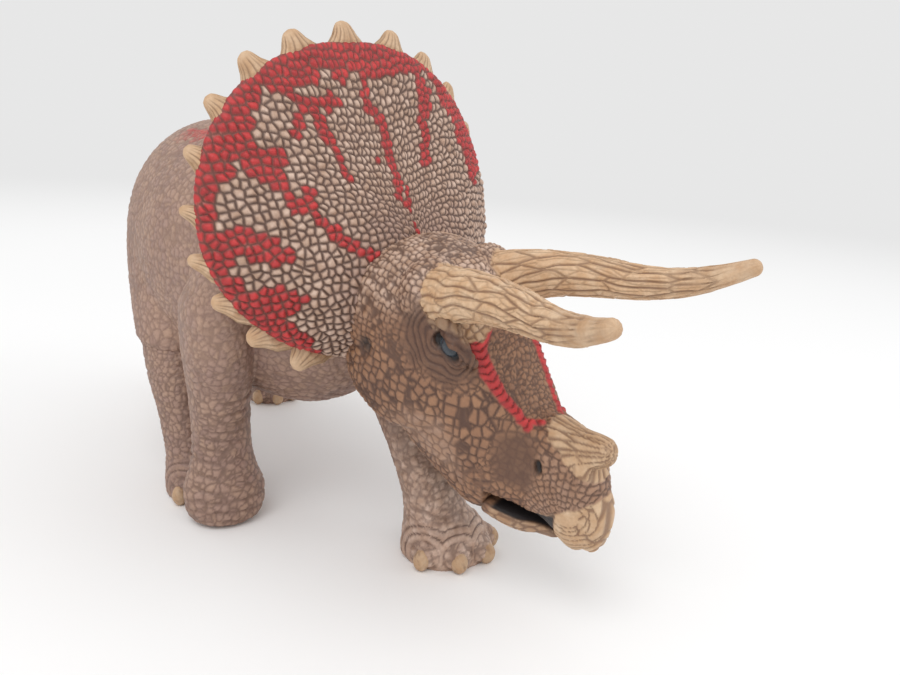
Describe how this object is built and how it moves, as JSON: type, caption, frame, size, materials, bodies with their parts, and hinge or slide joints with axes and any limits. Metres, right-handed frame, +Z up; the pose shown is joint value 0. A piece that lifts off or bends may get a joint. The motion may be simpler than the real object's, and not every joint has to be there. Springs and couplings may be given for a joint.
{
  "type": "toy dinosaur figure",
  "caption": "Walking horned dinosaur toy with a spiked neck frill, long brow horns, plugged-on legs and tail, and a lower jaw that opens on a pin.",
  "frame": {"origin": "middle of the outline box at floor level, under the belly", "axes": "+Z up; the animal walks towards -Y and its left side is +X"},
  "size_m": [0.0824, 0.2056, 0.1072],
  "materials": {
    "skin": "soft moulded plastic, hand painted, matt",
    "head_skin": "soft moulded plastic, red and brown hand painting, matt",
    "horn": "tan moulded plastic with a brown wash, satin",
    "jaw_skin": "tan and dark moulded plastic, matt",
    "pin_steel": "plain steel pin"
  },
  "bodies": {
    "figure": {"torso": "skin", "right_foreleg": "skin", "left_foreleg": "skin", "right_hind_leg": "skin", "left_hind_leg": "skin", "tail": "skin", "head": "head_skin", "right_brow_horn": "horn", "left_brow_horn": "horn", "jaw_pin": "pin_steel"},
    "jaw": {"lower_jaw": "jaw_skin"}
  },
  "joints": [
    {"name": "jaw_hinge", "type": "hinge", "parent": "figure", "child": "jaw", "pos_m": [0.01124, -0.05447, 0.02653], "axis": [0.9518, 0.2881, 0.1054], "range_deg": [-2, 14]}
  ]
}
